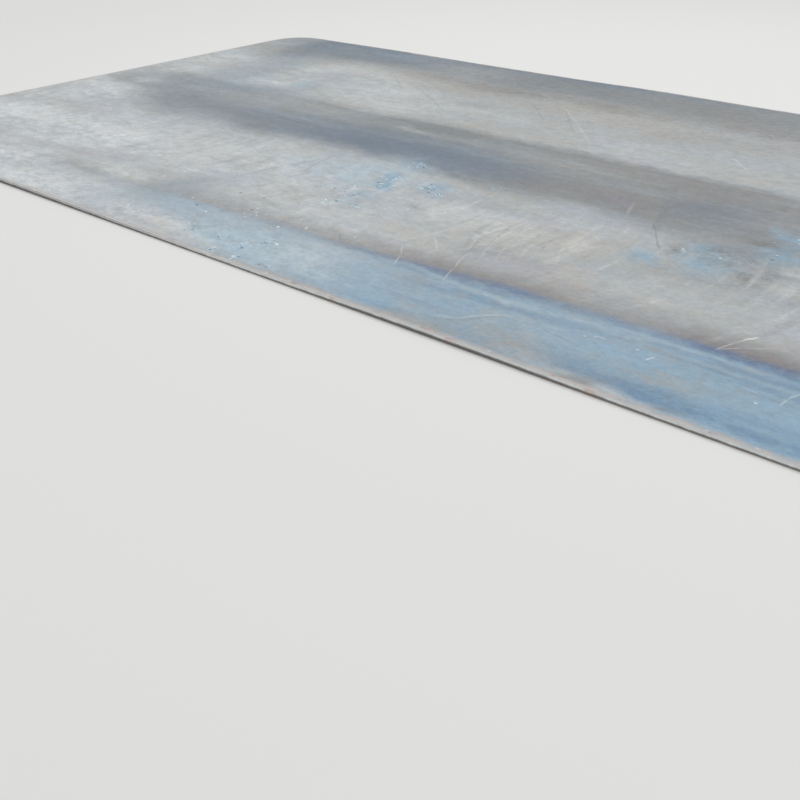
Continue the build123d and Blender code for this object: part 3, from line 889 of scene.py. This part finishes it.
def looseScaleTree(sizes, finish):
    b, given, identifiers = geometryTree("looseScale", sizes)

    def chance(low, high, place, kind="FLOAT"):
        made = b.node("FunctionNodeRandomValue", data_type=kind)
        sockets = {"FLOAT": (2, 3, 1), "INT": (4, 5, 2)}[kind]
        b.feed(made.inputs[sockets[0]], low)
        b.feed(made.inputs[sockets[1]], high)
        b.feed(made.inputs["Seed"], b.add(given["Seed"], place))
        return made.outputs[sockets[2]]

    def storedValue(name):
        return b.node("GeometryNodeInputNamedAttribute", {"Name": name}, data_type="FLOAT").outputs[0]

    # flake shapes, one across and one high: closed, uneven and curled up on one side
    here = b.parts(b.node("GeometryNodeInputPosition").outputs[0])
    shapes = b.node("GeometryNodeJoinGeometry")
    for place, corners in enumerate((5, 6, 7, 6)):
        plain = {"Vertices": corners, "Radius Top": 0.46, "Radius Bottom": 0.5, "Depth": 0.12}
        disc = b.node("GeometryNodeMeshCone", plain, fill_type="TRIANGLE_FAN")
        pulled = b.noise(b.point(b.times(here["X"], 1.9), b.times(here["Y"], 1.9), 5.7 * place), 1.0, 1.0)
        shrink = b.step(pulled, 0.25, 0.75, 0.45, 1.0)
        lean = b.add(here["X"], 0.5)
        crossCurl = b.times(here["Y"], here["Y"], b.times(given["Cross Curl"], place % 2))
        curl = b.add(b.times(lean, lean, given["Curl"]), crossCurl)
        curled = b.point(b.times(here["X"], shrink), b.times(here["Y"], shrink), b.add(here["Z"], curl))
        shaped = b.moved(disc.outputs[0], "Position", curled)
        b.feed(shapes.inputs[0], b.node("GeometryNodeGeometryToInstance", {0: shaped}).outputs[0])

    # places: each group's own point, copied and scattered about it, and kept on the plate
    points = {"Geometry": given["Geometry"], "Amount": storedValue("flakeCount")}
    copies = b.node("GeometryNodeDuplicateElements", points, domain="POINT")
    turn = chance(0.0, 2 * pi, 1)
    away = b.times(storedValue("flakeReach"), chance(0.0, 1.0, 2), chance(0.35, 1.0, 3), given["Scatter"])
    mostX = b.minus(b.over(given["Length"], 2), given["Rim Kept Clear"])
    mostY = b.minus(b.over(given["Width"], 2), given["Rim Kept Clear"])
    x = b.add(here["X"], b.times(away, b.math("COSINE", turn)))
    y = b.add(here["Y"], b.times(away, b.math("SINE", turn)))
    x, y = b.held(x, b.times(mostX, -1), mostX), b.held(y, b.times(mostY, -1), mostY)
    spread = b.moved(copies.outputs[0], "Position", b.point(x, y, 0))
    level = b.minus(b.add(given["Thickness"], bothRises(b, given, here)), given["Sunk"])
    placed = b.moved(spread, "Offset", b.point(0, 0, level))

    # sizes: mostly small, and never higher than the tallest wave
    share = b.math("POWER", chance(0.0, 1.0, 4), given["Size Power"])
    across = b.minus(given["Largest Flake"], given["Smallest Flake"])
    across = b.add(given["Smallest Flake"], b.times(share, across))
    room = b.minus(b.add(given["Thickness"], given["Highest Curl"]), here["Z"])
    high = b.math("MINIMUM", b.times(across, chance(given["Least Rise"], given["Most Rise"], 5)), room)
    high = b.math("MAXIMUM", high, b.times(given["Sunk"], 1.5))
    picked = {"Points": placed, "Instance": shapes.outputs[0], "Pick Instance": True}
    made = b.node("GeometryNodeInstanceOnPoints", picked)
    b.feed(made.inputs["Instance Index"], chance(0, 3, 6, "INT"))
    b.feed(made.inputs["Rotation"], b.point(0, 0, chance(0.0, 2 * pi, 7)))
    b.feed(made.inputs["Scale"], b.point(across, b.times(across, chance(given["Least Width"], 1.0, 8)), high))
    realized = b.node("GeometryNodeRealizeInstances", {"Geometry": made.outputs[0]}).outputs[0]
    coated = b.node("GeometryNodeSetMaterial", {"Geometry": realized, "Material": finish}).outputs[0]
    b.feed(b.node("NodeGroupOutput").inputs[0], coated)
    return b, identifiers


def paintFlakes(material):
    f = Finish(material, scaleTones, "paleBlue")
    own = f.node("ShaderNodeNewGeometry").outputs["Random Per Island"]
    f.lay("clearBlue", f.step(own, 0.26, 0.34))
    # painted highlight: the ice-blue and white flakes carry the colour of lit flake faces; the pale and clear blue ones
    # are the scale's own colour
    f.lay("iceBlue", f.step(own, 0.52, 0.60))
    f.lay("dust", f.step(own, 0.93, 0.95))
    f.close(0.45, Metallic=0.2)


flakeScale = bpy.data.materials.new("flakeScale")
paintFlakes(flakeScale)
builder, identifiers = looseScaleTree(flakeSizes, flakeScale)
looseScale = newObject("looseScale", [(x, y, 0) for x, y, reach, count in flakeGroups])
for label, place in (("flakeReach", 2), ("flakeCount", 3)):
    stored = looseScale.data.attributes.new(label, "FLOAT", "POINT")
    stored.data.foreach_set("value", [group[place] for group in flakeGroups])
flakeMesh = runTree(looseScale, builder, identifiers, flakeSizes)
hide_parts("steel_plate")
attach(looseScale, "root")
print("loose scale made,", sum(len(face.vertices) - 2 for face in flakeMesh.polygons), "triangles")

# Floor, light and camera

bpy.context.scene.view_settings.view_transform = "Standard"

backgroundTone = (0.872, 0.872, 0.867)
daylightStrength = 0.62
floorSizes = {"tone": (0.86, 0.86, 0.855), "height": -0.0002, "reach": 30.0, "fadeStart": 3.2, "fadeEnd": 6.4}


def seenBackground(builder):
    # 1 for what the camera sees straight or through gloss, 0 for the light that falls on the plate
    ray = builder.node("ShaderNodeLightPath").outputs
    seen = builder.math("MAXIMUM", ray["Is Camera Ray"], ray["Is Glossy Ray"])
    return builder.math("MAXIMUM", seen, ray["Is Transmission Ray"])


def paintFloor(material):
    f = Finish(material, {"floor": floorSizes["tone"]}, "floor")
    shader = f.node("ShaderNodeBsdfPrincipled", {"Base Color": f.colour, "Roughness": 0.9})
    glow = f.node("ShaderNodeEmission", {"Color": toLinear(backgroundTone), "Strength": 1.0})
    faded = f.step(f.vector("LENGTH", f.place), floorSizes["fadeStart"], floorSizes["fadeEnd"])
    faded = f.times(faded, seenBackground(f))
    mixed = f.node("ShaderNodeMixShader", {0: faded, 1: shader.outputs[0], 2: glow.outputs[0]})
    f.feed(f.node("ShaderNodeOutputMaterial").inputs["Surface"], mixed.outputs[0])


reach = floorSizes["reach"]
floorCorners = [
    (x, y, floorSizes["height"]) for x, y in ((-reach, -reach), (reach, -reach), (reach, reach), (-reach, reach))
]
floor = newObject("floor", floorCorners, [], [(0, 1, 2, 3)])
paleFloor = bpy.data.materials.new("paleFloor")
paintFloor(paleFloor)
floor.data.materials.append(paleFloor)

world = bpy.data.worlds.new("softStudio")
bpy.context.scene.world = world
world.use_nodes = True
world.node_tree.nodes.clear()
studio = NodeBuilder(world.node_tree)
daylight = studio.node("ShaderNodeBackground", {"Color": (1, 1, 1, 1), "Strength": daylightStrength})
backdrop = studio.node("ShaderNodeBackground", {"Color": toLinear(backgroundTone), "Strength": 1.0})
shown = {0: seenBackground(studio), 1: daylight.outputs[0], 2: backdrop.outputs[0]}
studioLight = studio.node("ShaderNodeMixShader", shown)
studio.feed(studio.node("ShaderNodeOutputWorld").inputs["Surface"], studioLight.outputs[0])

lampSizes = {"place": (-0.8, 1.0, 5.5), "aim": (-0.8, 0.0, 0.0), "long": 9.0, "wide": 7.0, "power": 250.0}
lampData = bpy.data.lights.new("softBox", "AREA")
lampData.shape = "RECTANGLE"
lampData.size, lampData.size_y = lampSizes["long"], lampSizes["wide"]
lampData.energy = lampSizes["power"]
lamp = bpy.data.objects.new("softBox", lampData)
lamp.location = lampSizes["place"]
lamp.rotation_euler = (Vector(lampSizes["place"]) - Vector(lampSizes["aim"])).to_track_quat("Z", "Y").to_euler()
bpy.context.scene.collection.objects.link(lamp)

view = {"place": (0.1646, -2.1913, 0.7719), "turn": (58.663, 0.032, 38.739), "lens": 41.34, "sensor": 36}
cameraData = bpy.data.cameras.new("camera")
cameraData.sensor_width = view["sensor"]
cameraData.lens = view["lens"]
cameraData.clip_start = 0.01
camera = bpy.data.objects.new("camera", cameraData)
camera.location = view["place"]
camera.rotation_euler = [radians(turn) for turn in view["turn"]]
bpy.context.scene.collection.objects.link(camera)
bpy.context.scene.camera = camera
print("floor, light and camera set")
